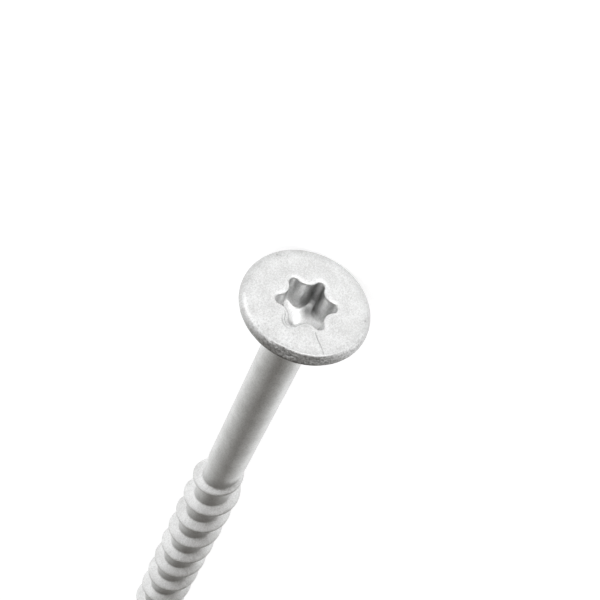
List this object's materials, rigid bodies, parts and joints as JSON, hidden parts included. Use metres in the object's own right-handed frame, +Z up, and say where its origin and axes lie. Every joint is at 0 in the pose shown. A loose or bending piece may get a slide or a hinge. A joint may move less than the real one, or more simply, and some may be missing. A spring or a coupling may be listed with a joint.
{
  "type": "countersunk wood screw",
  "caption": "Flat-topped countersunk wood screw with a six-lobe drive recess, a plain shank, a coarse right-hand thread and a gimlet point, zinc coated.",
  "frame": {"origin": "centre of the flat top of the head, on the screw's axis, level with the mouth of the recess", "axes": "+Z up, with the screw lying on a level floor as it rests, on the head's rim and the thread near the point; the axis lies in the XZ plane and the point is towards +X, 2.42 degrees lower than the head"},
  "size_m": [0.0641, 0.0094, 0.0094],
  "materials": {
    "zinc_coated_steel": "satin, hot-dip zinc"
  },
  "bodies": {
    "root": {"screw": "zinc_coated_steel"}
  },
  "joints": []
}
